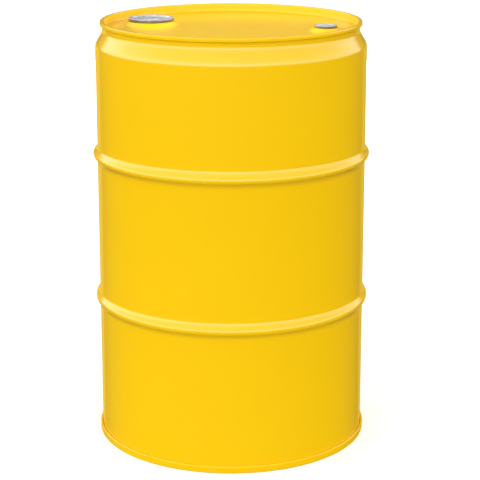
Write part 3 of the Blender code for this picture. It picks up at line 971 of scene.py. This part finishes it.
outer_wall = thick(body_path(), BODY_SHEET)[:len(body_path())]
wall_line = [point for point in outer_wall if WELD_BOTTOM < point.y < drum_height - WELD_TOP]
wall_line = sorted(wall_line, key=lambda point: point.y)
ends = [Vector((wall_line[0].x, WELD_BOTTOM)), Vector((wall_line[-1].x, drum_height - WELD_TOP))]
wall_line = [ends[0], *wall_line, ends[1]]
print("weld line of", len(wall_line), "points, radius",
      round(wall_line[0].x, 4), round(wall_line[-1].x, 4))
mesh = bpy.data.meshes.new("weld_line")
mesh.from_pydata([(0, point.x, point.y) for point in wall_line],
                 [(index, index + 1) for index in range(len(wall_line) - 1)], [])
side_seam = new_item("side_seam_weld", mesh)
weld.apply_to(side_seam, finish=finishes["body_paint"])
backing = side_seam.modifiers.new("backing", "SOLIDIFY")
backing.thickness = WELD_BACKING
backing.offset = -1
plain(side_seam)
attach(side_seam, "drum")
size_of(side_seam)

# %% [markdown]
# The studio is a pale floor inside a soft tent, the way a glossy drum is often lit: the enamel
# mirrors whatever stands around it, so the light comes from the tent's wall and not from bare
# lamps. The wall is brightest just above the horizon, which gives the hoops, the shoulder and the
# seams their bright lines, and dimmer overhead. Behind the drum the tent is open and darker, so
# that the head keeps its colour. The floor lights nothing by itself: a soft lamp below stands in
# for the light it throws back.

# %% The floor
FLOOR_SIDE = 60.0
FLOOR_DROP = 0.0004

floor_mesh = bpy.data.meshes.new("floor")
half = FLOOR_SIDE / 2
floor_mesh.from_pydata([(-half, -half, -FLOOR_DROP), (half, -half, -FLOOR_DROP),
                        (half, half, -FLOOR_DROP), (-half, half, -FLOOR_DROP)], [], [(0, 1, 2, 3)])
floor = new_item("studio_floor", floor_mesh)
floor_finish = Finish("studio_floor", Roughness=0.9, Specular_IOR_Level=0.0)
floor_finish.shader.inputs["Base Color"].default_value = (0.85, 0.85, 0.85, 1)
floor_finish.shader.inputs["Emission Color"].default_value = (1, 1, 1, 1)
floor_finish.shader.inputs["Emission Strength"].default_value = 0.35
floor_mesh.materials.append(floor_finish.material)
floor.visible_diffuse = False
floor.visible_glossy = False
floor.visible_shadow = False

# %% [markdown]
# The tent is a brightness for every direction. Two lists of heights and levels give the wall and
# the opening, the side towards the key is a little brighter than the other, and a warm strip low
# behind the drum gives the body's outermost edges a yellow reflection. The levels were tuned until
# the enamel looked right and aren't those of a known studio. What the camera sees directly, past
# the drum, is plain white.

# %% The tent
# Brightness by height, from straight down (0) over the horizon (0.5) to straight up (1).
TENT_WALL = (
    (0.0, 0.10), (0.485, 0.10), (0.525, 2.5), (0.63, 2.5), (0.69, 2.4),
    (0.72, 1.6), (0.78, 1.5), (0.80, 1.05), (0.95, 0.9), (0.975, 0.3), (1.0, 0.3),
)
TENT_OPENING = (
    (0.0, 0.10), (0.49, 0.10), (0.54, 0.19), (0.70, 0.24), (0.82, 0.6), (0.90, 1.4), (1.0, 1.4),
)
TENT_STRENGTH = 3.4
LIGHT_LEVEL = 0.92
OPENING_EDGE = (-0.80, -0.70)
WARM_FLOOR = (0.95, 0.68, 0.16)
WARM_EDGE = (0.80, 0.86)
WARM_DROP = (0.02, 0.06)
KEY_SIDE = (-0.62, -0.78, 0.0)
KEY_SHARE = 0.26

world = bpy.data.worlds.new("studio_tent")
world.use_nodes = True
bpy.context.scene.world = world
tent = Graph(world.node_tree)
direction = tent.node("ShaderNodeTexCoord", output="Generated")
split = tent.node("ShaderNodeSeparateXYZ", {}, {0: direction}).socket.node
behind, up = Value(tent, split.outputs["Y"]), Value(tent, split.outputs["Z"])


def by_height(levels):
    stops = [(place, (value / TENT_STRENGTH,) * 3) for place, value in levels]
    return tent.node("ShaderNodeValToRGB", {"stops": stops}, {0: up * 0.5 + 0.5})


def mixed(mask, low, high):
    inputs = dict(zip(MIX_COLOUR_INPUTS, (mask, low, high)))
    return tent.node("ShaderNodeMix", {"data_type": "RGBA"}, inputs, MIX_COLOUR_OUTPUT)


def ramp(value, ends):
    """0 up to the first end, 1 from the second."""
    return tent.node("ShaderNodeMapRange", {}, {0: value, 1: ends[0], 2: ends[1]})


edge = ramp(behind * -1, OPENING_EDGE)
glow = mixed(edge, by_height(TENT_OPENING), by_height(TENT_WALL))
warm_mask = ramp(behind, WARM_EDGE) * ramp(up * -1, WARM_DROP)
glow = mixed(warm_mask, glow, tuple(value / TENT_STRENGTH for value in WARM_FLOOR) + (1,))
towards_key = tent.node("ShaderNodeVectorMath", {"operation": "DOT_PRODUCT"},
                        {0: direction, 1: KEY_SIDE}, "Value")
share = LIGHT_LEVEL * (1.0 + KEY_SHARE * towards_key)
glow = tent.node("ShaderNodeVectorMath", {"operation": "SCALE"}, {0: glow, 3: share})
seen = tent.node("ShaderNodeLightPath", output="Is Camera Ray")
colour = mixed(seen, glow, (1.0 / TENT_STRENGTH,) * 3 + (1,))
background = world.node_tree.nodes["Background"]
tent.feed(background.inputs["Color"], colour)
background.inputs["Strength"].default_value = TENT_STRENGTH

# %% [markdown]
# Three lamps help the tent: a bounce below, a fill behind, and an overhead lamp in a narrow snoot
# that lights the head and the caps and nothing else. None of them shows in the enamel.

# %% The lamps
SNOOT_PLACE = (0, -0.03, 3.9)
SNOOT_WATTS = 190
SNOOT_ANGLE = math.radians(9.0)
SNOOT_BLEND = 0.4
SNOOT_RADIUS = 0.05
LAMPS = {
    # name: (place, aim, size across, size up, watts)
    "bounce": ((0.0, 0.0, -2.0), (0.0, 0.0, 0.0), 8.0, 8.0, 92),
    "back_fill": ((0.0, 5.0, 1.0), (0.0, 0.0, 0.45), 3.0, 2.0, 90),
}
for name, (place, aim, wide, tall, watts) in LAMPS.items():
    lamp = bpy.data.lights.new(name, "AREA")
    lamp.shape = "RECTANGLE"
    lamp.size, lamp.size_y = wide, tall
    lamp.energy = watts
    item = new_item(name + "_lamp", lamp)
    item.location = place
    item.rotation_euler = (Vector(aim) - Vector(place)).to_track_quat("-Z", "Y").to_euler()
    item.visible_glossy = False
    item.visible_camera = False
snoot = bpy.data.lights.new("overhead", "SPOT")
snoot.energy = SNOOT_WATTS
snoot.spot_size = SNOOT_ANGLE
snoot.spot_blend = SNOOT_BLEND
snoot.shadow_soft_size = SNOOT_RADIUS
item = new_item("overhead_lamp", snoot)
item.location = SNOOT_PLACE
item.visible_glossy = False
print("lamps", len(LAMPS) + 1, "heights of the tent's wall", len(TENT_WALL))

# %% [markdown]
# The camera stands a few steps back with a long lens, a little above the drum, and looks down on
# it. The drum's axis is slightly left of the middle, so the camera is turned a touch to the right.
# Its sensor is shifted a little, which keeps the drum's sides closer to parallel.

# %% The camera
CAMERA_PLACE = (0.0, -3.387, 1.360)
CAMERA_PITCH = math.radians(14.619)
CAMERA_YAW = math.radians(-0.317)
CAMERA_LENS = 120.7
CAMERA_SHIFT = -0.05

lens = bpy.data.cameras.new("camera")
lens.lens = CAMERA_LENS
lens.shift_y = CAMERA_SHIFT
camera = new_item("camera", lens)
camera.location = CAMERA_PLACE
camera.rotation_euler = (math.pi / 2 - CAMERA_PITCH, 0, CAMERA_YAW)
bpy.context.scene.camera = camera
bpy.context.scene.view_settings.view_transform = "Standard"
